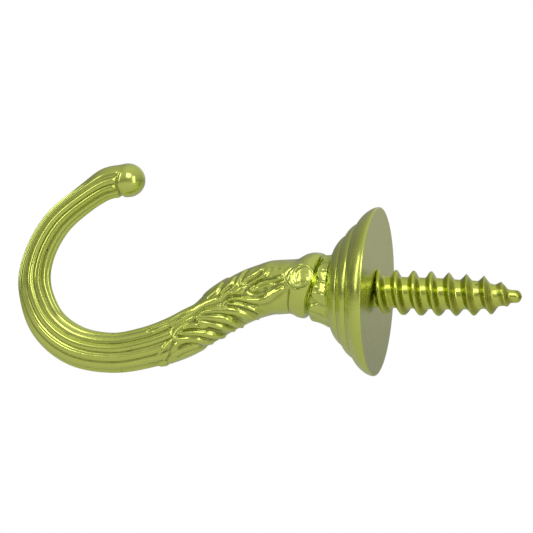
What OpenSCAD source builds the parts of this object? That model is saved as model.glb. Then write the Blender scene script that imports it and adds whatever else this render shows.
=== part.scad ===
// Ornamental wall hook: a cast arm with a reeded curl, a petalled calyx ring, a stepped
// rosette and the hanger bolt that carries them all.
// The wall is the plane X = 0. The bolt runs along +X into the wall, the arm stands out
// along -X, and +Z is up. Dimensions are in millimetres.

/* [Rosette] */
// Diameter of the rosette's flat back
rosette_d = 24; // [22:0.5:30]
// How far the rosette stands off the wall
rosette_h = 6.3; // [5.8:0.1:7]
// Width of the recess in the back, which takes the bolt's shoulder and clears its thread
recess_d = 6.8; // [6.7:0.1:8]
// Depth of that recess
recess_h = 0.8; // [0.6:0.1:1.2]

/* [Arm] */
// Diameter of the ball at the end of the curl
ball_d = 4.84; // [4.4:0.02:5.4]
// Thickness of the arm against its drawn thickness
arm_stoutness = 1; // [0.95:0.01:1.05]
// Lean of the collar's foot away from the wall, in degrees
collar_tilt = 11; // [8:1:14]

/* [Calyx ring] */
// Diameter where the ring meets the rosette
calyx_d = 10.4; // [9.6:0.1:11]
// Diameter of the arm's spigot inside the ring
spigot_d = 6.4; // [6:0.1:6.8]

/* [Hanger bolt] */
// Outside diameter of the wood thread
wood_thread_d = 6.35; // [6:0.05:6.6]
// Root diameter of the wood thread
wood_root_d = 4.4; // [4.2:0.1:4.5]
// Diameter of the shoulder between the wood thread and the machine stud
shoulder_d = 4.6; // [4.5:0.05:4.6]
// Pitch of the wood thread, ten threads to the inch
wood_pitch = 2.54; // [2.4:0.02:2.8]
// Length of the bolt beyond the wall's face
wood_length = 20.9; // [20:0.1:26]
// Diameter of the machine stud that holds the arm
stud_d = 4; // [3.6:0.1:4.2]
// Length of the stud inside the arm
stud_engagement = 8.2; // [7:0.1:8.4]

/* [Hidden] */

running_gap = 0.05;
seat_gap = 0.05;
drill_run_out = 0.4;
round_sides = 96;

// The arm's centreline: distance out from the wall, height, and radius of the section.
arm_path = [
    [8.8, 0.55, 4.7],
    [10.0, 0.6, 4.6],
    [11.4, 0.45, 4.3],
    [13.2, 0.3, 3.95],
    [15.5, -0.1, 3.87],
    [18.4, -1.15, 3.7],
    [21.6, -2.95, 3.5],
    [25.2, -5.45, 3.25],
    [28.6, -7.4, 3.12],
    [33.0, -9.05, 3.0],
    [38.0, -10.0, 2.93],
    [43.4, -9.2, 2.9],
    [47.6, -6.15, 2.68],
    [49.65, -1.2, 2.42],
    [49.25, 3.3, 2.17],
    [46.95, 7.9, 2.06],
    [43.4, 11.3, 1.98],
    [39.8, 13.75, 2.13],
    [36.5, 14.65, ball_d / 2 / arm_stoutness]
];
arm_sides = 20;
rings_per_span = 4;
collar_l = 4;
ball_rings = 5;

foot = [arm_path[0][0], arm_path[0][1]];
foot_r = arm_path[0][2] * arm_stoutness;
stud_tip = rosette_h + stud_engagement;

// The rosette's three rounds, from the wall out: radius and height where each begins, radius
// and height where it ends, and how far it swells. Shares of the rosette's radius and height.
rosette_rounds = [
    [1.000, 0.055, 0.813, 0.437, 0.028],
    [0.800, 0.468, 0.679, 0.690, 0.018],
    [0.6625, 0.722, 0.425, 1.000, 0.032]
];
round_steps = 8;

// The wood thread: how far along the bolt its crest starts and ends, the half widths of its
// crest and base, and where its crest and its root begin to taper.
crest_start = 0.1;
crest_end = 18.9;
crest_half = 0.16;
base_half = 0.82;
crest_taper_at = 9.7;
crest_taper = 0.4;
crest_drop_at = 16.2;
crest_drop = 0.55;
root_taper_at = 14.2;
nib_at = 19;
nib_r = 0.92;
thread_steps = 20;
thread_phase = -0.525;

// One coordinate of a smooth curve through b and c, with a and d as its neighbours.
function blend(a, b, c, d, t) =
    0.5 * (2 * b + (c - a) * t + (2 * a - 5 * b + 4 * c - d) * t * t
        + (3 * b - a - 3 * c + d) * t * t * t);

// The path's own stations, with one more beyond each end.
function station(i) =
    let (last = len(arm_path) - 1)
    i < 0 ? 2 * arm_path[0] - arm_path[1]
    : i > last ? 2 * arm_path[last] - arm_path[last - 1]
    : arm_path[i];

function along(i, t) = [
    for (k = [0:2]) blend(station(i - 1)[k], station(i)[k], station(i + 1)[k], station(i + 2)[k], t)
];

arm_line = [
    for (i = [0:len(arm_path) - 2], j = [0:rings_per_span - 1]) along(i, j / rings_per_span),
    arm_path[len(arm_path) - 1]
];

// The way the arm runs at a ring. Over the collar it turns to square up with the leaning foot.
function heading(k) =
    let (last = len(arm_line) - 1,
         v = arm_line[min(k + 1, last)] - arm_line[max(k - 1, 0)],
         a = atan2(v[1], v[0]),
         share = max(0, 1 - (arm_line[k][0] - foot[0]) / collar_l),
         b = a + (collar_tilt - a) * share)
    [cos(b), sin(b)];

// A ring of points round the centreline at c, across the direction d.
function ring(c, d, r) = [
    for (j = [0:arm_sides - 1])
        let (a = 360 * j / arm_sides)
        [-(c[0] - d[1] * r * cos(a)), r * sin(a), c[1] + d[0] * r * cos(a)]
];

arm_rings = [
    for (k = [0:len(arm_line) - 1]) ring(arm_line[k], heading(k), arm_line[k][2] * arm_stoutness),
    for (m = [1:ball_rings - 1])
        let (last = len(arm_line) - 1, a = 90 * m / ball_rings, d = heading(last))
        ring(arm_line[last] + ball_d / 2 * sin(a) * [d[0], d[1], 0], d, ball_d / 2 * cos(a))
];

// A closed skin over rings of the same number of points, with a point or a flat at each end.
module skin(rings, tip) {
    n = len(rings[0]);
    count = len(rings);
    points = concat([for (r = rings, p = r) p], [tip]);
    sides = [
        for (k = [0:count - 2], j = [0:n - 1])
            let (a = k * n + j, b = k * n + (j + 1) % n)
            each [[a, b + n, b], [a, a + n, b + n]]
    ];
    cap = [for (j = [0:n - 1]) [(count - 1) * n + (j + 1) % n, (count - 1) * n + j, count * n]];
    start = [[for (j = [0:n - 1]) j]];
    polyhedron(points = points, faces = concat(start, sides, cap), convexity = 6);
}

// Stands its children on the wall: their +Z becomes -X, out of the wall.
module out_of_wall() {
    rotate([0, -90, 0]) children();
}

module hook_arm() {
    last = len(arm_line) - 1;
    ball_tip = arm_line[last] + ball_d / 2 * [heading(last)[0], heading(last)[1], 0];
    color("goldenrod")
    difference() {
        union() {
            skin(arm_rings, [-ball_tip[0], 0, ball_tip[1]]);
            out_of_wall()
                translate([0, 0, rosette_h])
                    cylinder(h = foot[0] - rosette_h + 1, d = spigot_d, $fn = round_sides);
        }
        out_of_wall()
            translate([0, 0, rosette_h - 1])
                cylinder(h = stud_engagement + 1 + drill_run_out,
                         r = stud_d / 2 + running_gap, $fn = round_sides);
    }
}

module calyx_ring() {
    rim = 0.3;
    color("darkgoldenrod")
    difference() {
        hull() {
            out_of_wall()
                translate([0, 0, rosette_h])
                    cylinder(h = rim, d = calyx_d, $fn = 64);
            translate([-foot[0], 0, foot[1]])
                rotate([0, collar_tilt - 90, 0])
                    translate([0, 0, -rim])
                        cylinder(h = rim, r = foot_r, $fn = 64);
        }
        out_of_wall()
            translate([0, 0, rosette_h - 1])
                cylinder(h = foot[0], d = spigot_d + 2 * running_gap, $fn = round_sides);
    }
}

// Points of one swelling round of the rosette, given as its row of rosette_rounds.
function swelling(row) =
    let (r = rosette_d / 2,
         a = [row[0] * r, row[1] * rosette_h],
         b = [row[2] * r, row[3] * rosette_h],
         out = [b[1] - a[1], a[0] - b[0]] / norm(b - a))
    [for (k = [0:round_steps])
        let (t = k / round_steps)
        a + (b - a) * t + out * 4 * t * (1 - t) * row[4] * r];

module rosette() {
    bore_r = stud_d / 2 + running_gap;
    edge = 0.12;
    color("gold")
    out_of_wall()
        rotate_extrude($fn = round_sides)
            polygon(concat(
                [[bore_r, rosette_h], [bore_r, recess_h], [recess_d / 2, recess_h]],
                [[recess_d / 2, 0], [rosette_d / 2 - edge, 0]],
                [for (row = rosette_rounds, p = swelling(row)) p]
            ));
}

// How far the crest, and the root under it, stand from the bolt's axis at a distance along it.
function crest_r(x) =
    x < crest_taper_at ? wood_thread_d / 2
    : x < crest_drop_at
        ? wood_thread_d / 2 - crest_taper * (x - crest_taper_at) / (crest_drop_at - crest_taper_at)
    : max(nib_r + 0.1, wood_thread_d / 2 - crest_taper - crest_drop * (x - crest_drop_at));
function root_r(x) =
    x < root_taper_at ? wood_root_d / 2
    : max(nib_r, wood_root_d / 2
        - (wood_root_d / 2 - nib_r) * (x - root_taper_at) / (nib_at - root_taper_at));

// A right-hand ridge wound round the bolt's axis.
module wood_thread() {
    first = ceil((crest_start - thread_phase) / wood_pitch * thread_steps);
    final = floor((crest_end - thread_phase) / wood_pitch * thread_steps);
    sections = [
        for (k = [first:final])
            let (a = 360 * k / thread_steps,
                 x = thread_phase + wood_pitch * k / thread_steps,
                 corners = [[-base_half, root_r(x) - 0.25], [-crest_half, crest_r(x)],
                            [crest_half, crest_r(x)], [base_half, root_r(x) - 0.25]])
            [for (c = corners) [x + c[0], c[1] * cos(a), c[1] * sin(a)]]
    ];
    n = 4;
    count = len(sections);
    sides = [
        for (k = [0:count - 2], j = [0:n - 1])
            let (a = k * n + j, b = k * n + (j + 1) % n)
            each [[a, b, b + n], [a, b + n, a + n]]
    ];
    ends = [[0, 2, 1], [0, 3, 2],
            [for (j = [0, 1, 2]) (count - 1) * n + j], [for (j = [0, 2, 3]) (count - 1) * n + j]];
    polyhedron(points = [for (s = sections, p = s) p], faces = concat(sides, ends), convexity = 12);
}

module hanger_bolt() {
    shoulder_h = recess_h - seat_gap;
    color("olive")
    union() {
        rotate([0, 90, 0])
            rotate_extrude($fn = round_sides)
                polygon([
                    [0, -stud_tip],
                    [stud_d / 2 - 0.4, -stud_tip],
                    [stud_d / 2, -stud_tip + 0.4],
                    [stud_d / 2, -shoulder_h],
                    [shoulder_d / 2, -shoulder_h],
                    [shoulder_d / 2, 0],
                    [wood_root_d / 2, 0.6],
                    [wood_root_d / 2, root_taper_at],
                    [nib_r, nib_at],
                    [nib_r - 0.1, wood_length - 0.6],
                    [0, wood_length]
                ]);
        intersection() {
            wood_thread();
            // the thread runs out at the wall's face
            translate([seat_gap, -wood_thread_d, -wood_thread_d])
                cube([wood_length, 2 * wood_thread_d, 2 * wood_thread_d]);
        }
    }
}

hook_arm();
calyx_ring();
rosette();
hanger_bolt();
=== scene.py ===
import math
import bpy
import numpy as np
from mathutils import Matrix, Vector


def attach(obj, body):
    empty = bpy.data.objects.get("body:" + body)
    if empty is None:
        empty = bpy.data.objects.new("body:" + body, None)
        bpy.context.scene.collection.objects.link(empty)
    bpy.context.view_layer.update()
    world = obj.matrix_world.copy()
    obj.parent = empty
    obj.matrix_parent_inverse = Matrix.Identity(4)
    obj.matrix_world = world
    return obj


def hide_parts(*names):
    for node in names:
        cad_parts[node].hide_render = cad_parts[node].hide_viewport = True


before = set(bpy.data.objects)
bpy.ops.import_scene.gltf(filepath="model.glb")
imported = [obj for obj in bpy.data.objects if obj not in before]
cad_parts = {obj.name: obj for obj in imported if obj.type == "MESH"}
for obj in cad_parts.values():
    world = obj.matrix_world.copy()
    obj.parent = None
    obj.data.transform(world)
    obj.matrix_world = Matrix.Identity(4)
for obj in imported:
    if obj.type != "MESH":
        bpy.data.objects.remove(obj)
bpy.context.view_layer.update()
print("frame loaded:", ", ".join(sorted(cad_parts)))

mm = 0.001  # all shapes are worked out in millimetres
scene = bpy.context.scene


# A smooth line through the points, evenly spread over its stretches. In words: between two
# points it is the cubic whose slope at each is half the step between that point's neighbours.
def smoothLine(points, count):
    p = np.asarray(points, float)
    padded = np.vstack([2 * p[0] - p[1], p, 2 * p[-1] - p[-2]])
    u = np.linspace(0, len(p) - 1, count)
    i = np.clip(np.floor(u).astype(int), 0, len(p) - 2)
    f = (u - i)[:, None]
    a, b, c, d = padded[i], padded[i + 1], padded[i + 2], padded[i + 3]
    square, cube = 2 * a - 5 * b + 4 * c - d, 3 * b - a - 3 * c + d
    return 0.5 * (2 * b + (c - a) * f + square * f ** 2 + cube * f ** 3)


# 0 below low, 1 above high, and 3x squared minus 2x cubed between.
def easeStep(low, high, x):
    f = np.clip((x - low) / (high - low), 0, 1)
    return f * f * (3 - 2 * f)


# A rounded bump over 0 to 1: four times x times one minus x, raised to a power that fills it out.
def bump(x, fullness=0.6):
    return np.clip(4 * x * (1 - x), 0, 1) ** fullness


# A mesh from a grid of points, in millimetres. Columns close round. Rows close too where
# ring is true, otherwise the first and last row each close on a point at their middle.
def gridMesh(name, points, ring=False, paintedShadeAmount=None, closeStart=True, closeEnd=True):
    rows, cols = points.shape[:2]
    verts = points.reshape(-1, 3)
    i, j = np.meshgrid(np.arange(rows if ring else rows - 1), np.arange(cols), indexing="ij")
    nextRow, nextCol = (i + 1) % rows, (j + 1) % cols
    quads = np.stack([i * cols + j, nextRow * cols + j, nextRow * cols + nextCol, i * cols + nextCol], -1)
    faces = quads.reshape(-1, 4).tolist()
    shade = None if paintedShadeAmount is None else paintedShadeAmount.reshape(-1)
    around = np.arange(cols)
    for wanted, row, flip in ((closeStart, 0, False), (closeEnd, rows - 1, True)):
        if ring or not wanted:
            continue
        middle = points[row].mean(0)
        verts = np.vstack([verts, middle])
        tip = len(verts) - 1
        a, b = row * cols + around, row * cols + (around + 1) % cols
        fan = np.stack([np.full(cols, tip), b, a] if flip else [np.full(cols, tip), a, b], -1)
        faces += fan.tolist()
        if shade is not None:
            shade = np.append(shade, shade[row * cols:(row + 1) * cols].mean())
    mesh = bpy.data.meshes.new(name)
    mesh.from_pydata((verts * mm).tolist(), [], faces)
    mesh.polygons.foreach_set("use_smooth", np.ones(len(mesh.polygons), bool))
    # the per-point amount of painted shade is stored on the mesh
    if shade is not None:
        layer = mesh.attributes.new("paintedShadeAmount", "FLOAT", "POINT")
        layer.data.foreach_set("value", shade.astype(np.float32))
    mesh.update()
    piece = bpy.data.objects.new(name, mesh)
    scene.collection.objects.link(piece)
    return piece


# Circles about the bolt's axis: out is the distance from the wall and radius the distance
# from the axis. Angle 0 faces the front (-Y) and a quarter turn faces down (-Z).
def circleRows(out, radius, angle):
    out, radius = np.broadcast_arrays(np.asarray(out, float), np.asarray(radius, float))
    if out.ndim == 1:
        out, radius = out[:, None], radius[:, None]
    out = np.broadcast_to(out, (out.shape[0], len(angle)))
    return np.stack([-out, -radius * np.cos(angle), -radius * np.sin(angle)], -1)


arm = {
    # centreline from the collar's foot to the middle of the ball: out from the wall, height, radius
    "line": [
        (8.8, 0.55, 4.65), (10.0, 0.6, 4.5), (11.4, 0.45, 4.2), (13.2, 0.3, 3.92), (15.5, -0.1, 3.87),
        (18.4, -1.15, 3.75), (21.6, -2.95, 3.55), (25.2, -5.45, 3.28), (28.6, -7.4, 3.14),
        (33.0, -9.05, 3.0), (38.0, -10.0, 2.93), (43.4, -9.2, 2.9), (47.6, -6.15, 2.68),
        (49.65, -1.2, 2.42), (49.25, 3.3, 2.17), (46.95, 7.9, 2.06), (43.4, 11.3, 1.98),
        (39.8, 13.75, 2.13), (36.6, 14.58, 2.4),
    ],
    "ballRadius": 2.4,
    "columns": 252,
    "reedCount": 12,
    "reedDepth": 0.36,
    # how far the reeds are turned round the arm, in degrees, at distances along it
    "reedTurn": [
        (0, -28), (26, -29), (32, -30), (36, -29), (42, -23), (48, -10), (54, -4), (61, -2), (68, -8),
    ],
    "leafDepth": 0.15,
    "footLean": 11.0,
    "leanLength": 4.0,
    "spigotRadius": 3.2,
    "boreRadius": 2.05,
    "boreEnd": 14.9,
    "footOut": 6.3,
}

# Ridges of the acanthus leaf, drawn on the front half and repeated on the back. Each point is
# the distance along the arm, the angle round it and half the ridge's width, in mm and degrees.
leafRidges = [
    # height, points
    (0.30, [(24.9, 34, 0.12), (23.8, 21, 0.2), (22.9, 11, 0.2), (22.0, 2, 0.12)]),
    (0.26, [(21.9, 6, 0.15), (20.6, 20, 0.3), (19.5, 33, 0.35), (18.9, 48, 0.3), (18.4, 66, 0.28),
            (18.1, 86, 0.2)]),
    (0.24, [(22.0, 24, 0.2), (21.2, 21, 0.25), (20.4, 25, 0.2)]),
    (0.30, [(22.9, 55, 0.3), (21.7, 49, 0.4), (20.6, 50, 0.4), (19.8, 56, 0.3)]),
    (0.36, [(20.7, 2, 0.25), (19.5, 13, 0.42), (18.4, 25, 0.45), (17.6, 39, 0.42), (16.9, 58, 0.38),
            (16.3, 82, 0.25)]),
    (0.34, [(19.6, -6, 0.2), (18.6, -1, 0.32), (17.8, 9, 0.3), (17.1, 20, 0.15)]),
    (0.40, [(17.5, -16, 0.28), (16.4, -2, 0.48), (15.1, 17, 0.52), (14.1, 34, 0.48), (13.6, 52, 0.4),
            (13.2, 76, 0.25)]),
    (0.36, [(16.6, -18, 0.2), (15.4, -8, 0.38), (14.2, 3, 0.4), (13.2, 14, 0.36), (12.4, 26, 0.32),
            (11.8, 42, 0.26), (11.4, 60, 0.15)]),
    (0.28, [(17.6, -2, 0.15), (16.9, 11, 0.26), (16.0, 29, 0.3), (15.3, 46, 0.3), (14.9, 62, 0.3),
            (14.6, 84, 0.2)]),
    (0.30, [(13.5, 3, 0.15), (12.8, 13, 0.28), (12.1, 27, 0.32), (11.4, 41, 0.3), (10.8, 58, 0.26),
            (10.3, 76, 0.15)]),
    (0.28, [(12.4, 2, 0.2), (11.5, 12, 0.28), (10.6, 23, 0.28), (9.8, 36, 0.25), (9.0, 52, 0.2),
            (8.5, 66, 0.12)]),
    (0.38, [(12.2, -7, 0.22), (11.0, 1, 0.4), (10.0, 10, 0.45), (9.0, 18, 0.5), (7.9, 24, 0.55),
            (6.7, 23, 0.55), (5.4, 14, 0.5), (4.3, 6, 0.4)]),
    (0.40, [(8.0, -6, 0.16), (7.3, -12, 0.3), (6.1, -12, 0.3), (4.9, -13, 0.28), (4.5, -17, 0.34)]),
    (0.32, [(8.4, -1, 0.16), (7.4, -4, 0.26), (6.4, -5, 0.26), (5.6, -7, 0.15)]),
    (0.28, [(14.8, -44, 0.2), (13.7, -46, 0.3), (12.8, -56, 0.3), (12.4, -68, 0.2)]),
    (0.34, [(12.8, -31, 0.2), (11.8, -37, 0.36), (11.0, -44, 0.38), (10.4, -56, 0.25)]),
    (0.32, [(13.6, -21, 0.25), (12.0, -24, 0.22), (10.8, -27, 0.24), (10.1, -37, 0.24), (9.4, -52, 0.22),
            (9.0, -66, 0.15)]),
    (0.36, [(9.2, -33, 0.22), (8.0, -38, 0.4), (6.8, -46, 0.34)]),
    (0.30, [(8.8, -20, 0.16), (7.4, -24, 0.24), (6.5, -30, 0.26), (6.0, -43, 0.15)]),
    (0.30, [(11.4, -16, 0.3), (10.4, -14, 0.55), (9.7, -17, 0.4)]),
    (0.24, [(25.5, -45, 0.05), (23.8, -46, 0.25), (22.0, -46.5, 0.38), (20.0, -47, 0.42), (17.8, -46, 0.45),
            (16.1, -43, 0.45), (15.1, -35, 0.4), (14.2, -28, 0.32), (13.3, -23, 0.25)]),
    (0.18, [(24.5, -35, 0.04), (23.2, -35, 0.12), (22.0, -35, 0.16), (20.0, -35, 0.18), (17.9, -34, 0.16),
            (16.0, -33, 0.12)]),
    (0.50, [(25.2, 82, 0.3), (24.2, 80, 0.85), (22.8, 82, 1.1), (21.2, 86, 1.0), (19.6, 90, 0.5)]),
    (0.22, [(15.2, -84, 0.4), (14.2, -80, 0.7), (12.8, -84, 0.6), (11.8, -90, 0.3)]),
]

# Cuts between the lobes, drawn in the same way.
leafCuts = [
    # depth, points
    (0.24, [(24.7, 86, 0.2), (24.0, 58, 0.22), (23.0, 31, 0.2), (22.2, 12, 0.16)]),
    (0.22, [(22.2, 8, 0.2), (22.0, -6, 0.22), (21.3, -17, 0.22), (20.3, -21, 0.2), (19.2, -20, 0.18),
            (18.4, -13, 0.18), (17.8, -3, 0.12)]),
    (0.28, [(20.4, -4, 0.14), (19.3, 2, 0.2), (18.2, 14, 0.2), (17.3, 29, 0.2), (16.4, 52, 0.2),
            (15.7, 80, 0.15)]),
    (0.28, [(21.3, 3, 0.18), (20.0, 14, 0.24), (18.9, 28, 0.24), (18.1, 46, 0.22), (17.5, 64, 0.2),
            (17.2, 84, 0.15)]),
    (0.26, [(21.9, 36, 0.16), (21.1, 34, 0.24), (20.3, 38, 0.16)]),
    (0.24, [(22.6, 62, 0.2), (21.4, 58, 0.2), (20.1, 62, 0.15)]),
    (0.26, [(17.9, -5, 0.14), (17.9, -17, 0.18), (17.2, -26, 0.2), (16.1, -28, 0.18), (15.2, -22, 0.16),
            (14.1, -15, 0.14), (13.4, -12, 0.12)]),
    (0.26, [(16.8, -14, 0.12), (15.5, -2, 0.2), (14.2, 13, 0.22), (13.3, 30, 0.2), (12.6, 52, 0.2),
            (12.1, 76, 0.12)]),
    (0.28, [(17.0, -2, 0.14), (16.0, 14, 0.22), (15.1, 32, 0.22), (14.4, 52, 0.2), (13.9, 78, 0.15)]),
    (0.24, [(18.0, 4, 0.12), (17.2, 20, 0.2), (16.5, 36, 0.2), (15.9, 56, 0.15)]),
    (0.26, [(13.5, -5, 0.16), (13.1, -11, 0.2), (12.1, -15, 0.2), (11.1, -10, 0.18), (10.2, 2, 0.16),
            (9.1, 10, 0.16), (8.1, 15, 0.16), (7.2, 15, 0.16), (6.7, 9, 0.15), (6.5, 0, 0.12)]),
    (0.28, [(12.3, -1, 0.14), (11.5, 1, 0.18), (10.6, 11, 0.2), (9.6, 24, 0.2), (8.6, 37, 0.14)]),
    (0.26, [(12.9, 3, 0.14), (11.9, 14, 0.22), (11.0, 27, 0.22), (10.2, 42, 0.2), (9.5, 60, 0.15)]),
    (0.26, [(8.6, 4, 0.16), (9.1, -3, 0.2), (8.9, -11, 0.22), (8.2, -18, 0.2), (6.9, -20, 0.18),
            (5.5, -18, 0.16), (4.6, -23, 0.18), (3.9, -17, 0.18), (4.5, -9, 0.15), (5.7, -8, 0.12)]),
    (0.24, [(8.6, 3, 0.16), (7.8, 6, 0.2), (7.0, 6, 0.18), (6.6, 1, 0.12)]),
    (0.22, [(7.9, -7, 0.12), (7.1, -8, 0.14), (6.2, -8, 0.14), (5.2, -9, 0.1)]),
    (0.28, [(13.3, -22, 0.16), (13.3, -33, 0.2), (12.7, -46, 0.2), (12.1, -58, 0.16)]),
    (0.22, [(12.5, -26, 0.12), (11.5, -29, 0.16), (10.5, -33, 0.12)]),
    (0.28, [(9.6, -21, 0.18), (9.9, -31, 0.22), (9.4, -46, 0.2), (8.7, -62, 0.16)]),
    (0.24, [(9.0, -26, 0.14), (7.9, -30, 0.18), (6.9, -36, 0.16), (6.5, -46, 0.12)]),
    (0.20, [(22.0, -30, 0.14), (20.0, -30, 0.16), (18.1, -29, 0.14), (16.4, -30, 0.12)]),
    (0.14, [(22.0, -40, 0.1), (20.0, -40, 0.12), (17.8, -40, 0.1)]),
    (0.20, [(30.6, 50, 0.1), (29.2, 52, 0.16), (28.0, 54, 0.12)]),
    (0.20, [(27.0, 45, 0.1), (26.4, 52, 0.15), (26.0, 62, 0.12)]),
]

denseLine = smoothLine(arm["line"], 1200)
lineLength = np.concatenate([[0], np.cumsum(np.hypot(*np.diff(denseLine[:, :2], axis=0).T))])
armLength = lineLength[-1]


# The centre, radius and direction of the arm at a distance along it. Past the middle of the
# ball the line runs straight on, and the radius is the square root of the ball's radius
# squared less the distance past its middle squared.
def armAt(along):
    held = np.clip(along, 0, armLength)
    out, height, radius = (np.interp(held, lineLength, denseLine[:, k]) for k in range(3))
    slope = np.gradient(denseLine[:, :2], lineLength, axis=0)
    direction = np.stack([np.interp(held, lineLength, slope[:, k]) for k in range(2)], -1)
    direction /= np.linalg.norm(direction, axis=1, keepdims=True)
    past = np.maximum(along - armLength, 0)
    out, height = out + direction[:, 0] * past, height + direction[:, 1] * past
    radius = np.where(past > 0, np.sqrt(np.maximum(arm["ballRadius"] ** 2 - past ** 2, 0)), radius)
    return out, height, radius, direction


# How strongly a point lies on a drawn stroke: one minus the square of its distance from the
# stroke's line over the half width there, kept above 0, and the largest over all stretches.
def strokeField(along, across, radius, points, spread=1.0, steps=14):
    line = smoothLine(points, steps)
    line[:, 2] *= spread
    field = np.zeros_like(along)
    near = (along > line[:, 0].min() - 1.6) & (along < line[:, 0].max() + 1.6)
    x, y = along[near], across[near] * radius[near]
    best = np.zeros_like(x)
    for a, b in zip(line[:-1], line[1:]):
        ax, ay, bx, by = a[0], math.radians(a[1]) * radius[near], b[0], math.radians(b[1]) * radius[near]
        dx, dy = bx - ax, by - ay
        share = np.clip(((x - ax) * dx + (y - ay) * dy) / (dx * dx + dy * dy + 1e-9), 0, 1)
        away = (x - ax - share * dx) ** 2 + (y - ay - share * dy) ** 2
        width = a[2] + (b[2] - a[2]) * share
        best = np.maximum(best, 1 - away / width ** 2)
    field[near] = best
    return field


# Each height becomes half itself plus an eighth of each of its four neighbours.
def soften(field):
    padded = np.pad(field, ((1, 1), (0, 0)), mode="edge")
    return 0.5 * field + (np.roll(field, 1, 1) + np.roll(field, -1, 1) + padded[:-2] + padded[2:]) / 8


# The reeds: each twelfth of a turn is one round reed, and under a third of it is a lower bead
# marked off by a fine line. The height is the reed's depth times the bump less the line less one,
# so that a crest stands at 0.
def reedRelief(along, angle):
    turn = np.radians(np.interp(along, *zip(*arm["reedTurn"])))
    u = ((angle - turn) * arm["reedCount"] / (2 * math.pi)) % 1.0
    reed = bump(u, 0.75) * (0.8 + 0.2 * easeStep(0.26, 0.44, u))
    line = 0.06 * np.exp(-((u - 0.3) / 0.06) ** 2)
    return arm["reedDepth"] * (reed - line - 1)


# The shield on the collar: half an oval towards the curl, run out to a point towards the wall.
# Its depth inside its outline is its half width times one minus how far out a point lies.
# Its face is a flat disc: a ninth of the side distance squared undoes the arm's roundness there.
# A rim stands round the disc, with a fine line inside it, and the neck flares up to the cut round it.
# Rim, line and cut are bell curves, e to the minus square of a distance over a width. The flare
# is e to the minus distance over a width.
def shieldRelief(forward, side):
    f, h = (forward + 0.45), 1.62
    inside = h * np.where(f < 0, 1 - np.hypot(f / 1.8, side / h),
                          1 - np.abs(side) / h - (np.maximum(f, 0) / 2.1) ** 2.2)
    ring = np.hypot(forward, side)
    face = 0.24 + np.minimum(side ** 2, 2.2) / 9 + 0.09 * np.exp(-((ring - 1.36) / 0.17) ** 2)
    face -= 0.07 * np.exp(-((ring - 1.08) / 0.09) ** 2)
    flare = 0.32 * np.exp(-np.maximum(-inside, 0) / 0.55) - 0.24 * np.exp(-((inside + 0.06) / 0.12) ** 2)
    raised = easeStep(-0.08, 0.12, inside)
    return face * raised + flare * (1 - raised) * (inside > -2.5)


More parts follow.
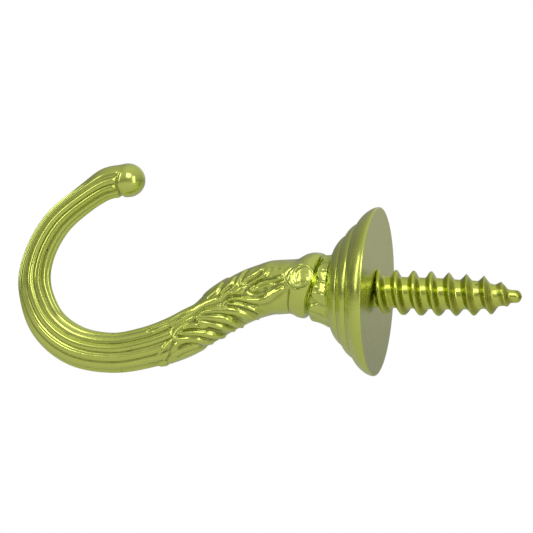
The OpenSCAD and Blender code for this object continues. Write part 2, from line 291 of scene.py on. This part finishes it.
# The whole height of the carving above the arm's round section, from the distance along and
# the angle round: leaf, reeds, shields and the bulge of the collar.
def armRelief(along, angle, radius):
    angle = (angle + math.pi) % (2 * math.pi) - math.pi
    folded = np.where(angle > math.pi / 2, math.pi - angle, angle)
    folded = np.where(folded < -math.pi / 2, -math.pi - folded, folded)
    ridges, cuts = np.zeros_like(along), np.zeros_like(along)
    for height, points in leafRidges:
        # the leaf's fingers are full, the scroll's strands are slim
        field = strokeField(along, folded, radius, points, 1.6 if points[0][0] > 13 else 1.15)
        ridges = np.maximum(ridges, height * np.clip(field, 0, 1))
    for depth, points in leafCuts:
        field = strokeField(along, folded, radius, points, 1.1)
        cuts = np.maximum(cuts, 0.7 * depth * np.clip(field, 0, 1))
    degrees = np.degrees(folded)
    ridges *= 1 - 0.5 * easeStep(62, 88, degrees)
    for _ in range(2):
        ridges, cuts = soften(ridges), soften(cuts)
    leafEdge = np.interp(degrees, [-90, -70, -52, -36, -20, 4, 12, 29, 54, 90],
                         [15.3, 15.6, 16.8, 21.5, 21.9, 22.1, 22.3, 23.0, 23.9, 24.8])
    sheath = 1 - easeStep(-0.14, 0.14, along - leafEdge)
    leafy = easeStep(5.5, 7.5, along)
    leaf = ridges - cuts - arm["leafDepth"] * leafy
    reedEnd = armLength - 1.75 + 0.9 * easeStep(-20, 70, degrees) + 0.3 * easeStep(20, 60, -degrees)
    reeded = 1 - easeStep(-0.12, 0.12, along - reedEnd)
    # on the outer side they fade out before the ball
    nearBall = easeStep(armLength - 9, armLength - 3.6, along)
    reeds = reedRelief(along, angle) * (1 - 0.85 * nearBall * easeStep(5, 50, degrees))
    relief = sheath * leaf + (1 - sheath) * (reeds * reeded - cuts + ridges * easeStep(-0.1, 0.8, 26 - along))
    # the reeds stand lower than the leaf where they run in under it on top
    relief -= 0.3 * np.exp(-((along - 17.0) / 1.7) ** 2) * easeStep(40, 65, -degrees)
    # the neck behind the ball pinches in on the inner side of the curl and humps up on the outer
    pinch = np.exp(-((along - reedEnd - 0.22) / 0.3) ** 2) * (1 - easeStep(0, 55, degrees))
    relief += 0.28 * np.exp(-((along - armLength + 2.9) / 1.9) ** 2) * easeStep(10, 70, degrees) - 0.3 * pinch
    # collar: a cut line on its lower half, then a shield on each side and a crown on top
    cutAt = 3.2 + 0.012 * (degrees - 10)
    cutLine = 0.24 * np.exp(-((along - cutAt) / 0.13) ** 2) * easeStep(2, 12, degrees)
    band = bump(np.clip((along - 0.3) / 2.9, 0, 1), 0.8) * easeStep(-5, 25, degrees)
    relief += 0.16 * band - cutLine
    collar = 1 - easeStep(4.6, 6.2, along)
    shield = shieldRelief(1.2 - along, np.radians(degrees + 17) * radius)
    relief += shield * collar * easeStep(-70, -52, degrees)
    crown = np.interp(along, [0, 0.4, 1, 1.65, 2.1, 2.6, 3.2, 4.6, 6],
                      [0.02, 0.13, 0.18, 0.08, -0.12, -0.34, -0.3, -0.08, 0])
    relief += crown * easeStep(-42, -72, degrees)
    edge = np.interp(degrees, [-90, -75, -52, -38, -28, -17, -6, 5, 21, 51, 90],
                     [-0.3, -0.2, 0.0, 0.05, -0.1, -0.3, -0.15, 0.0, 0.25, 0.4, 0.5])
    lip = 1 - easeStep(-0.12, 0.12, along - edge)
    relief += 0.14 * easeStep(50, 85, degrees) * (1 - easeStep(2.4, 3.2, along))
    return relief * (1 - lip) - 0.7 * lip - 0.12 * np.exp(-((along - edge) / 0.2) ** 2) * (1 - lip)


# How far a height lies below the mean of its surroundings, from 0 to 1, for painted shade in cuts.
def hollowness(relief, reach=4, depth=0.16):
    mean = relief.copy()
    for _ in range(2):
        total = sum(np.roll(mean, k, axis=1) for k in range(-reach, reach + 1)) / (2 * reach + 1)
        padded = np.pad(total, ((reach, reach), (0, 0)), mode="edge")
        mean = sum(padded[k:k + len(relief)] for k in range(2 * reach + 1)) / (2 * reach + 1)
    return np.clip((mean - relief) / depth, 0, 1)


def buildArm():
    angle = np.linspace(-math.pi, math.pi, arm["columns"], endpoint=False)
    cap = armLength + arm["ballRadius"] * np.sin(np.linspace(0, math.pi / 2, 22)[1:-1])
    along = np.concatenate([np.arange(-0.05, 25.4, 0.13), np.arange(25.4, armLength - 3.2, 0.3),
                            np.arange(armLength - 3.2, armLength, 0.13), cap])
    out, height, radius, direction = armAt(along)
    # near the foot the sections lean until they lie flat on the calyx ring
    path = np.arctan2(direction[:, 1], direction[:, 0])
    share = np.maximum(0, 1 - along / arm["leanLength"])
    lean = path + (math.radians(arm["footLean"]) - path) * share
    # the columns turn with the reeds, so that each reed keeps its own
    t = along[:, None] * np.ones_like(angle)
    a = angle + np.radians(np.interp(along, *zip(*arm["reedTurn"])))[:, None]
    relief = armRelief(t, a, radius[:, None] * np.ones_like(a))
    # the carving dies out over the ball's cap: its height falls as a cosine to the tip
    overCap = np.clip((along - armLength) / arm["ballRadius"], 0, 1)
    relief *= np.cos(overCap * math.pi / 2)[:, None]
    reach = radius[:, None] + relief
    outer = np.stack([
        -(out[:, None] + np.sin(lean)[:, None] * np.sin(a) * reach),
        -np.cos(a) * reach,
        height[:, None] - np.cos(lean)[:, None] * np.sin(a) * reach,
    ], -1)
    # inside: the bore's cone and wall, the spigot's end and side, then out along the foot
    slope = math.tan(math.radians(arm["footLean"]))
    bore, spigot, end, low = arm["boreRadius"], arm["spigotRadius"], arm["boreEnd"], arm["footOut"]
    inner = circleRows([end + 0.8, end, end - 0.1, low + 0.2, low, low, low + 0.15],
                       [0.3, bore - 0.1, bore, bore, 2.2, spigot - 0.15, spigot], a[0])
    footRow = circleRows([arm["line"][0][0]], [spigot], a[0])
    footRow[..., 0] += slope * (footRow[..., 2] - arm["line"][0][1])
    # painted shade: the carving's cuts are darkened by how far each point lies below its surroundings
    shade = np.vstack([np.zeros((len(inner) + 1, len(angle))), hollowness(relief)])
    piece = gridMesh("arm_casting", np.vstack([inner, footRow, outer]), paintedShadeAmount=shade)
    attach(piece, "arm")
    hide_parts("hook_arm")
    return piece


calyx = {
    "petals": 9,
    "turn": 28.0,  # degrees from the front to the first cut between petals
    "petalHeight": 0.42,
    "footRadius": 4.25,
    "rimRadius": 5.05,
    "boreRadius": 3.25,
    "rows": 34,
    "columns": 288,
}


# Each petal is a bump across its share of the ring with a cut down its middle and a fine line
# down each half. It rises from a round tip at the collar: it starts later the further a point
# lies from the petal's middle.
def buildCalyx():
    angle = np.linspace(-math.pi, math.pi, calyx["columns"], endpoint=False)
    u, a = np.meshgrid(np.linspace(0, 1, calyx["rows"]), angle, indexing="ij")
    foot, rim = arm["line"][0], arm["footOut"]
    v = ((a - math.radians(calyx["turn"])) * calyx["petals"] / (2 * math.pi)) % 1.0 - 0.5
    tip = 0.04 + 0.42 * (2 * np.abs(v)) ** 2.4
    across = bump(v + 0.5, 0.42) - 0.34 * np.exp(-(v / 0.03) ** 2)
    across -= 0.12 * np.exp(-((np.abs(v) - 0.26) / 0.03) ** 2)
    petal = calyx["petalHeight"] * easeStep(0, 0.2, u - tip) * across * (1 - 0.4 * u)
    body = calyx["footRadius"] - 0.35 * (1 - easeStep(0, 0.25, u))
    body += (calyx["rimRadius"] - calyx["footRadius"]) * u ** 2.2
    rimRound = -0.35 * easeStep(0.86, 1.0, u)
    body += 0.28 * easeStep(0.1, 0.9, np.sin(a))
    reach = body + petal + rimRound
    # the petals' tips lie over the collar's foot, furthest at the bottom
    over = (0.05 + 0.35 * easeStep(-0.3, 0.9, np.sin(a))) * (1 - easeStep(0, 0.5, u))
    reach = reach - 0.12 * (1 - easeStep(0, 0.3, u))
    height = foot[1] * (1 - u) - reach * np.sin(a)
    lean = math.tan(math.radians(arm["footLean"])) * (1 - u)
    out = foot[0] * (1 - u) + rim * u - lean * (height - foot[1] * (1 - u)) + over
    outer = np.stack([-out, -reach * np.cos(a), height], -1)
    # inside: the bore, the foot's plane, and the undersides of the tips
    inner = circleRows([rim, rim + 1.2], [calyx["boreRadius"]] * 2, angle)
    slope = math.tan(math.radians(arm["footLean"]))
    footRows = circleRows([foot[0]] * 2, [calyx["boreRadius"], 3.98], angle)
    footRows[..., 2] += foot[1] * np.array([[0.0], [1.0]])
    footRows[..., 0] += slope * (footRows[..., 2] - foot[1])
    under = footRows[1:].copy()
    under[..., 0] -= 0.8 * over[:1]
    footRow = np.vstack([footRows, under])
    points = np.vstack([inner, footRow, outer])[::-1]
    # painted shade: the hollows between and down the petals are darkened
    shade = np.vstack([np.zeros((5, len(angle))), hollowness(petal, 5, 0.25)])[::-1]
    piece = gridMesh("calyx_petals", points, ring=True, paintedShadeAmount=shade)
    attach(piece, "arm")
    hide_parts("calyx_ring")
    return piece


plate = {
    # rounds from the wall out: radius and distance out where each begins and ends, and its swell
    "rounds": [
        (11.97, 0.34, 9.8, 2.72, 0.36),
        (9.62, 2.92, 8.12, 4.36, 0.22),
        (7.92, 4.55, 5.0, 6.3, 0.40),
    ],
    "backEdge": 11.88,
    "boreRadius": 2.05,
    "recessRadius": 2.35,
    "columns": 256,
}


# The rosette's outline turned about the bolt's axis. Each round is a straight run plus, square to
# it, its swell times four x times one minus x to the power 0.8.
def buildRosette():
    bore, recess = plate["boreRadius"], plate["recessRadius"]
    outline = [(0.78, bore), (0.8, recess - 0.02), (0.05, recess), (0.0, recess + 0.06)]
    backStart = len(outline) - 1
    outline += [(0.0, r) for r in np.linspace(recess + 0.2, plate["backEdge"] - 0.2, 26)]
    outline += [(0.0, plate["backEdge"]), (0.04, 11.96), (0.14, 12.0)]
    backEnd = len(outline) - 3
    for r0, x0, r1, x1, swell in plate["rounds"]:
        f = np.linspace(0, 1, 26)
        run = math.hypot(r1 - r0, x1 - x0)
        push = swell * bump(f, 0.8)
        out = x0 + (x1 - x0) * f + push * (r0 - r1) / run
        outline += list(zip(out, r0 + (r1 - r0) * f + push * (x1 - x0) / run))
        outline.append((outline[-1][0] - 0.12, outline[-1][1] - 0.07))  # a groove ends each round
    outline += [(6.3, 4.8), (6.3, 2.3), (6.15, 2.05)]
    line = np.array(outline)
    angle = np.linspace(-math.pi, math.pi, plate["columns"], endpoint=False)
    points = circleRows(line[:, 0], line[:, 1], angle)
    shade = np.zeros(points.shape[:2])
    # painted shade: a dark line is painted along the groove at the end of each round
    for r0, x0, r1, x1, swell in plate["rounds"]:
        shade += np.exp(-(np.hypot(line[:, 0] - x1, line[:, 1] - r1) / 0.15) ** 2)[:, None]
    # painted shade: the flat back is darkened from its lower edge up
    shade[:backEnd] += 0.65 * easeStep(-7, 12, -points[:backEnd, :, 2])
    piece = gridMesh("rosette_plate", points, ring=True, paintedShadeAmount=np.clip(shade, 0, 1))
    # the flat back is ground, not polished
    rows = np.arange(len(piece.data.polygons)) // plate["columns"]
    ground = (rows >= backStart) & (rows < backEnd)
    piece.data.polygons.foreach_set("material_index", ground.astype(np.int32))
    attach(piece, "rosette")
    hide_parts("rosette")
    return piece


bolt = {
    "pitch": 2.54,
    # distance into the wall, and radius there
    "crests": [
        (0, 3.2), (9, 3.16), (12.9, 3.0), (15.5, 2.83), (16.6, 2.66), (18.1, 1.9), (19.0, 1.74), (19.4, 1.2),
    ],
    "roots": [
        (0, 2.22), (9, 2.22), (11.5, 2.12), (14.2, 2.04), (15.8, 1.86), (17.1, 1.57), (18.3, 1.36),
        (18.9, 1.02), (19.3, 0.93), (20.3, 0.87), (20.55, 0.74), (20.75, 0.45), (20.9, 0.04),
    ],
    "phase": -0.525,
    "tip": 20.9,
    "studRadius": 2.0,
    "studPitch": 0.7,
    "studEnd": 14.5,
}


# The wood thread winds round to the right: its crest passes angle a at phase plus pitch times
# a over a full turn. Across the pitch it is a round crest with long hollow flanks.
def buildBolt():
    angle = np.linspace(-math.pi, math.pi, 144, endpoint=False)
    x = np.concatenate([np.arange(0.03, 19.0, 0.055), np.linspace(19.0, bolt["tip"] - 0.02, 26)])
    depth, a = np.meshgrid(x, angle, indexing="ij")
    # angle 0 is half a turn on from +Y, where the crest stands at the phase
    w = ((depth - bolt["phase"]) / bolt["pitch"] - (a + math.pi) / (2 * math.pi) + 0.5) % 1.0 - 0.5
    crest = np.interp(x, *zip(*bolt["crests"]))
    root = np.interp(x, *zip(*bolt["roots"]))
    rise = np.clip(1 - np.abs(w) / 0.36, 0, 1)
    sharp = easeStep(7, 13, depth)
    profile = (1 - sharp) * easeStep(0, 0.95, rise) + sharp * rise ** 1.25
    # rolling leaves a faint double crest and fine steps on the flanks
    profile -= 0.05 * (1 - sharp) * np.exp(-(w / 0.035) ** 2) + 0.018 * np.sin(profile * 24) * (profile > 0.1)
    fade = 1 - easeStep(18.7, 19.4, depth)
    radius = root[:, None] + np.maximum(crest - root, 0)[:, None] * profile * fade
    wood = np.stack([depth, -radius * np.cos(a), -radius * np.sin(a)], -1)
    # machine stud: a V thread of 0.7 mm pitch between the same two ends
    s = np.arange(-bolt["studEnd"] + 0.3, -1.0, 0.0875)
    ds, around = np.meshgrid(s, angle, indexing="ij")
    v = (ds / bolt["studPitch"] - (around + math.pi / 2) / (2 * math.pi)) % 1.0
    studRadius = bolt["studRadius"] - 0.36 * np.clip(1 - np.abs(2 * v - 1) * 1.25, 0, 1)
    stud = np.stack([ds, -studRadius * np.cos(around), -studRadius * np.sin(around)], -1)
    neck = circleRows([bolt["studEnd"], bolt["studEnd"] - 0.05], [1.5, 1.62], angle)
    shoulder = circleRows([0.95, 0.76, 0.75, 0.7, 0.05, 0.0], [1.95, 1.98, 2.24, 2.3, 2.3, 2.25], angle)
    points = np.vstack([neck, stud, shoulder, wood])[::-1]
    # painted shade lies on the wood thread's flanks, half way up
    plain = np.zeros((len(neck) + len(stud) + len(shoulder), len(angle)))
    shade = np.vstack([plain, 0.95 * bump(np.clip(profile, 0, 1), 1.0)])[::-1]
    piece = gridMesh("hanger_bolt_threads", points, paintedShadeAmount=shade)
    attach(piece, "bolt")
    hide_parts("hanger_bolt")
    return piece


pieces = {"arm": buildArm(), "calyx": buildCalyx(), "rosette": buildRosette(), "bolt": buildBolt()}
print("pieces built:", {name: len(o.data.polygons) for name, o in pieces.items()})


# An sRGB hex value as linear red, green, blue and alpha.
def colour(hexValue):
    channels = [int(hexValue[k:k + 2], 16) / 255 for k in (1, 3, 5)]
    return [c / 12.92 if c <= 0.04045 else ((c + 0.055) / 1.055) ** 2.4 for c in channels] + [1.0]


# Adds one node: settings are its own properties, values go to its input sockets by name or
# number, and links join other nodes' outputs to them.
def addNode(tree, kind, settings=None, values=None, links=None):
    node = tree.nodes.new(kind)
    for key, value in (settings or {}).items():
        setattr(node, key, value)
    for key, value in (values or {}).items():
        node.inputs[key].default_value = value
    for key, source in (links or {}).items():
        tree.links.new(source, node.inputs[key])
    return node


def setRamp(node, stops):
    ramp = node.color_ramp
    ramp.elements[0].position, ramp.elements[0].color = stops[0]
    ramp.elements[1].position, ramp.elements[1].color = stops[-1]
    for position, value in stops[1:-1]:
        ramp.elements.new(position).color = value


brass = {
    "body": "#dce775",
    "warm": "#cfdc63",
    "paintedShade": "#5c611c",
    "back": "#dfe588",
    "bolt": "#dae26a",
    "boltFlankShade": "#7a7c00",
    "stain": "#2e2b06",
}


# Brass as cast, turned, ground or cut: a metal whose tint wanders a little, with painted shade in its
# cuts, grooves and thread flanks, brown stains where the cuts hold most, pits, and the marks of its making.
# grainMm and grainDepth are the marks' spacing and height in mm, waves is the slow waves' height in mm, and
# coat is how much lacquer lies on it. dark is the colour of the painted shade.
def makeBrass(name, base, second, dark, roughness, grain, grainMm, grainDepth, waves, pits, stains, coat):
    material = bpy.data.materials.new(name)
    material.use_nodes = True
    tree = material.node_tree
    tree.nodes.clear()
    place = addNode(tree, "ShaderNodeTexCoord").outputs["Object"]
    drift = addNode(tree, "ShaderNodeTexNoise", values={"Scale": 1 / (7 * mm), "Detail": 3.0},
                    links={"Vector": place})
    tint = addNode(tree, "ShaderNodeMix", {"data_type": "RGBA"}, {6: colour(base), 7: colour(second)},
                   {0: drift.outputs["Fac"]})
    # painted shade: a per-point amount mixes the colour toward the dark one in cuts, grooves, thread flanks
    # and the back's lower part
    deep = addNode(tree, "ShaderNodeAttribute", {"attribute_name": "paintedShadeAmount"})
    amount = addNode(tree, "ShaderNodeMath", {"operation": "MULTIPLY"}, {1: 0.6}, {0: deep.outputs["Fac"]})
    toned = addNode(tree, "ShaderNodeMix", {"data_type": "RGBA"}, {7: colour(dark)},
                    {0: amount.outputs[0], 6: tint.outputs[2]})
    # stains lie in the cuts of the underside, in patches about 1.5 mm across
    patch = addNode(tree, "ShaderNodeTexNoise", values={"Scale": 1 / (1.5 * mm), "Detail": 2.0},
                    links={"Vector": place})
    spots = addNode(tree, "ShaderNodeMapRange", values={1: 0.56, 2: 0.66, 3: 0.0, 4: stains},
                    links={0: patch.outputs["Fac"]})
    inCuts = addNode(tree, "ShaderNodeMath", {"operation": "MULTIPLY"},
                     links={0: spots.outputs[0], 1: deep.outputs["Fac"]})
    upDown = addNode(tree, "ShaderNodeSeparateXYZ", links={0: place})
    lower = addNode(tree, "ShaderNodeMapRange", values={1: -1.0 * mm, 2: -4.0 * mm, 3: 0.0, 4: 1.0},
                    links={0: upDown.outputs[2]})
    stainAmount = addNode(tree, "ShaderNodeMath", {"operation": "MULTIPLY"},
                          links={0: inCuts.outputs[0], 1: lower.outputs[0]})
    # casting pits about 0.2 mm across and 2.6 mm apart
    cells = addNode(tree, "ShaderNodeTexVoronoi", values={"Scale": 1 / (2.6 * mm)}, links={"Vector": place})
    pit = addNode(tree, "ShaderNodeMapRange", values={1: 0.04, 2: 0.085, 3: pits, 4: 0.0},
                  links={0: cells.outputs["Distance"]})
    darkest = addNode(tree, "ShaderNodeMath", {"operation": "MAXIMUM"},
                      links={0: stainAmount.outputs[0], 1: pit.outputs[0]})
    finished = addNode(tree, "ShaderNodeMix", {"data_type": "RGBA"}, {7: colour(brass["stain"])},
                       {0: darkest.outputs[0], 6: toned.outputs[2]})
    cloud = addNode(tree, "ShaderNodeTexNoise", values={"Scale": 1 / (1.6 * mm), "Detail": 4.0},
                    links={"Vector": place})
    gloss = addNode(tree, "ShaderNodeMapRange",
                    values={1: 0.3, 2: 0.7, 3: roughness * 0.75, 4: roughness * 1.3},
                    links={0: cloud.outputs["Fac"]})
    if grain == "turned":
        rings = {"Scale": 1 / (grainMm * mm) / 3.2, "Distortion": 0.6, "Detail": 2.0, "Detail Scale": 1.5}
        marks = addNode(tree, "ShaderNodeTexWave", {"wave_type": "RINGS", "rings_direction": "X"}, rings,
                        {"Vector": place})
    else:
        stretched = (1, 1, 0.06) if grain == "ground" else (1, 1, 1)
        stretch = addNode(tree, "ShaderNodeMapping", values={"Scale": stretched, "Rotation": (0.12, 0, 0)},
                          links={"Vector": place})
        marks = addNode(tree, "ShaderNodeTexNoise",
                        values={"Scale": 1 / (grainMm * mm), "Detail": 2.5, "Roughness": 0.5},
                        links={"Vector": stretch.outputs[0]})
    # the curl was buffed smoother than the rest: its marks fade from 18 to 26 mm off the wall
    buffed = addNode(tree, "ShaderNodeMapRange", values={1: -26 * mm, 2: -18 * mm, 3: 0.1, 4: 1.0},
                     links={0: upDown.outputs[0]})
    height = addNode(tree, "ShaderNodeMath", {"operation": "MULTIPLY"},
                     links={0: marks.outputs["Fac"], 1: buffed.outputs[0]})
    lift = addNode(tree, "ShaderNodeBump", values={"Strength": 1.0, "Distance": grainDepth * mm},
                   links={"Height": height.outputs[0]})
    # slow waves left by buffing, about 2 mm across
    wave = addNode(tree, "ShaderNodeTexNoise", values={"Scale": 1 / (2.2 * mm), "Detail": 1.6},
                   links={"Vector": place})
    soft = addNode(tree, "ShaderNodeMath", {"operation": "MULTIPLY"},
                   links={0: wave.outputs["Fac"], 1: buffed.outputs[0]})
    swell = addNode(tree, "ShaderNodeBump", values={"Strength": 1.0, "Distance": waves * mm},
                    links={"Height": soft.outputs[0], "Normal": lift.outputs[0]})
    shader = addNode(tree, "ShaderNodeBsdfPrincipled",
                     values={"Metallic": 1.0, "Coat Weight": coat, "Coat Roughness": 0.18},
                     links={"Base Color": finished.outputs[2], "Roughness": gloss.outputs[0],
                            "Normal": swell.outputs[0]})
    addNode(tree, "ShaderNodeOutputMaterial", links={"Surface": shader.outputs[0]})
    return material


materials = {
    # cast brass, buffed by hand and lacquered: soft wide highlights with painted shade in the cuts
    "cast": makeBrass("cast_brass_polished_lacquered", brass["body"], brass["warm"], brass["paintedShade"],
                      roughness=0.21, grain="cast", grainMm=0.6, grainDepth=0.045, waves=0.4, pits=0.6,
                      stains=0.4, coat=0.5),
    # the same brass turned on a lathe: highlights run round it in fine rings
    "turned": makeBrass("turned_brass_polished", brass["body"], brass["warm"], brass["paintedShade"],
                        roughness=0.24, grain="turned", grainMm=0.35, grainDepth=0.003, waves=0.03, pits=0.2,
                        stains=1.0, coat=0.3),
    # flat ground back: a pale satin that mirrors what stands close to it
    "ground": makeBrass("ground_brass_satin", brass["back"], brass["back"], brass["paintedShade"],
                        roughness=0.22, grain="ground", grainMm=0.16, grainDepth=0.002, waves=0.0, pits=0.0,
                        stains=0.0, coat=0.0),
    # cut thread: painted shade on the flanks makes them darker and more yellow than the bright roots and
    # crests
    "thread": makeBrass("cut_brass_thread", brass["bolt"], brass["warm"], brass["boltFlankShade"],
                        roughness=0.23, grain="turned", grainMm=0.2, grainDepth=0.008, waves=0.12, pits=0.9,
                        stains=0.0, coat=0.0),
}
pieces["arm"].data.materials.append(materials["cast"])
pieces["calyx"].data.materials.append(materials["cast"])
pieces["rosette"].data.materials.append(materials["turned"])
pieces["rosette"].data.materials.append(materials["ground"])
pieces["bolt"].data.materials.append(materials["thread"])
print("materials made:", ", ".join(m.name for m in materials.values()))


studio = {
    "floorDrop": 60,  # mm below the bolt's axis
    "floorSize": 1400,
    "whiteLevel": 1.0,
}


def flatSheet(name, corners, material):
    mesh = bpy.data.meshes.new(name)
    mesh.from_pydata([[c * mm for c in p] for p in corners], [], [list(range(len(corners)))])
    sheet = bpy.data.objects.new(name, mesh)
    sheet.data.materials.append(material)
    scene.collection.objects.link(sheet)
    return sheet


paper = bpy.data.materials.new("white_paper_floor")
paper.use_nodes = True
fibre = addNode(paper.node_tree, "ShaderNodeTexNoise", values={"Scale": 1 / (3 * mm), "Detail": 3.0})
shadeOfPaper = addNode(paper.node_tree, "ShaderNodeMix", {"data_type": "RGBA"},
                       {6: colour("#e4e4e2"), 7: colour("#dcdcda")}, {0: fibre.outputs["Fac"]})
paperShader = paper.node_tree.nodes["Principled BSDF"]
paperShader.inputs["Roughness"].default_value = 0.9
paper.node_tree.links.new(shadeOfPaper.outputs[2], paperShader.inputs["Base Color"])
half, low = studio["floorSize"] / 2, -studio["floorDrop"]
flatSheet("floor", [(-half, -half, low), (half, -half, low), (half, half, low), (-half, half, low)], paper)


# A soft box: its place and the point it faces are in millimetres, and its level is how bright
# its face looks, where 1 is white. The lamp's power is that times pi times its area.
def softBox(name, place, target, size, level):
    lamp = bpy.data.lights.new(name, "AREA")
    lamp.shape, lamp.size, lamp.size_y = "RECTANGLE", size[0] * mm, size[1] * mm
    lamp.energy = level * math.pi * lamp.size * lamp.size_y
    holder = bpy.data.objects.new(name, lamp)
    start, end = np.array(place, float), np.array(target, float)
    holder.location = Vector(start * mm)
    holder.rotation_euler = Vector(end - start).to_track_quat("-Z", "Y").to_euler()
    scene.collection.objects.link(holder)
    return holder


softBox("key_soft_box", (10, -215, 160), (0, 0, 0), (140, 110), 2.9)
softBox("left_soft_box", (-255, -150, 110), (-10, 0, 0), (75, 200), 2.4)
softBox("right_soft_box", (215, -215, 60), (-30, 0, 0), (75, 220), 2.8)

world = bpy.data.worlds.new("studio_white")
scene.world = world
world.use_nodes = True
sky = world.node_tree
sky.nodes.clear()
ray = addNode(sky, "ShaderNodeLightPath")
where = addNode(sky, "ShaderNodeTexCoord")
split = addNode(sky, "ShaderNodeSeparateXYZ", links={0: where.outputs["Generated"]})
height = addNode(sky, "ShaderNodeMapRange", values={1: -1.0, 2: 1.0}, links={0: split.outputs[2]})
band = addNode(sky, "ShaderNodeValToRGB", links={0: height.outputs[0]})
# how bright the room is from straight below to straight above
levels = [(0.0, 0.34), (0.24, 0.34), (0.4, 0.2), (0.5, 0.27), (0.62, 0.4), (1.0, 0.62)]
setRamp(band, [(position, (level, level, level, 1)) for position, level in levels])
# dimmer behind on the left, where nothing pale stands
toLeft = addNode(sky, "ShaderNodeVectorMath", {"operation": "DOT_PRODUCT"}, {1: (-0.93, 0.36, 0.0)},
                 {0: where.outputs["Generated"]})
dim = addNode(sky, "ShaderNodeMapRange", values={1: 0.1, 2: 0.9, 3: 1.0, 4: 0.55},
              links={0: toLeft.outputs["Value"]})
# a small dark patch in front and below, as a camera stand leaves
toFront = addNode(sky, "ShaderNodeVectorMath", {"operation": "DOT_PRODUCT"}, {1: (-0.1, -0.951, -0.292)},
                  {0: where.outputs["Generated"]})
opening = addNode(sky, "ShaderNodeMapRange", values={1: 0.984, 2: 0.993, 3: 1.0, 4: 0.05},
                  links={0: toFront.outputs["Value"]})
# a pale wall stands behind
toBack = addNode(sky, "ShaderNodeVectorMath", {"operation": "DOT_PRODUCT"}, {1: (0.2, 0.97, 0.14)},
                 {0: where.outputs["Generated"]})
wall = addNode(sky, "ShaderNodeMapRange", values={1: 0.8, 2: 0.97, 3: 1.0, 4: 1.5},
               links={0: toBack.outputs["Value"]})
sides = addNode(sky, "ShaderNodeMath", {"operation": "MULTIPLY"},
                links={0: dim.outputs[0], 1: wall.outputs[0]})
strength = addNode(sky, "ShaderNodeMath", {"operation": "MULTIPLY"},
                   links={0: sides.outputs[0], 1: opening.outputs[0]})
room = addNode(sky, "ShaderNodeBackground", links={0: band.outputs[0], 1: strength.outputs[0]})
white = addNode(sky, "ShaderNodeBackground", values={"Color": (1, 1, 1, 1), "Strength": studio["whiteLevel"]})
either = addNode(sky, "ShaderNodeMixShader",
                 links={0: ray.outputs["Is Camera Ray"], 1: room.outputs[0], 2: white.outputs[0]})
addNode(sky, "ShaderNodeOutputWorld", links={0: either.outputs[0]})
scene.view_settings.view_transform = "Standard"


view = {
    "turn": 11.8,  # degrees round from the front towards the wall's side
    "roll": 2.0,
    "distance": 2500,
    "width": 75.53,  # mm across the picture at the bolt's axis
    "centre": (-15.69, 3.57),  # mm right of and above the origin, as the camera sees it
}


def placeCamera():
    turn, roll = math.radians(view["turn"]), math.radians(view["roll"])
    right, up = np.array([math.cos(turn), math.sin(turn), 0]), np.array([0, 0, 1.0])
    back = np.array([math.sin(turn), -math.cos(turn), 0])
    tiltedRight = right * math.cos(roll) + up * math.sin(roll)
    tiltedUp = up * math.cos(roll) - right * math.sin(roll)
    middle = tiltedRight * view["centre"][0] + tiltedUp * view["centre"][1]
    place = (middle + back * view["distance"]) * mm
    lens = bpy.data.cameras.new("camera")
    lens.sensor_width = 36
    lens.lens = 36 * view["distance"] / view["width"]
    lens.clip_start, lens.clip_end = 0.01, 30
    holder = bpy.data.objects.new("camera", lens)
    columns = [tiltedRight, tiltedUp, back]
    rows = [[*(float(c[k]) for c in columns), float(place[k])] for k in range(3)]
    holder.matrix_world = Matrix(rows + [[0, 0, 0, 1]])
    scene.collection.objects.link(holder)
    scene.camera = holder


placeCamera()
print("studio and camera set")
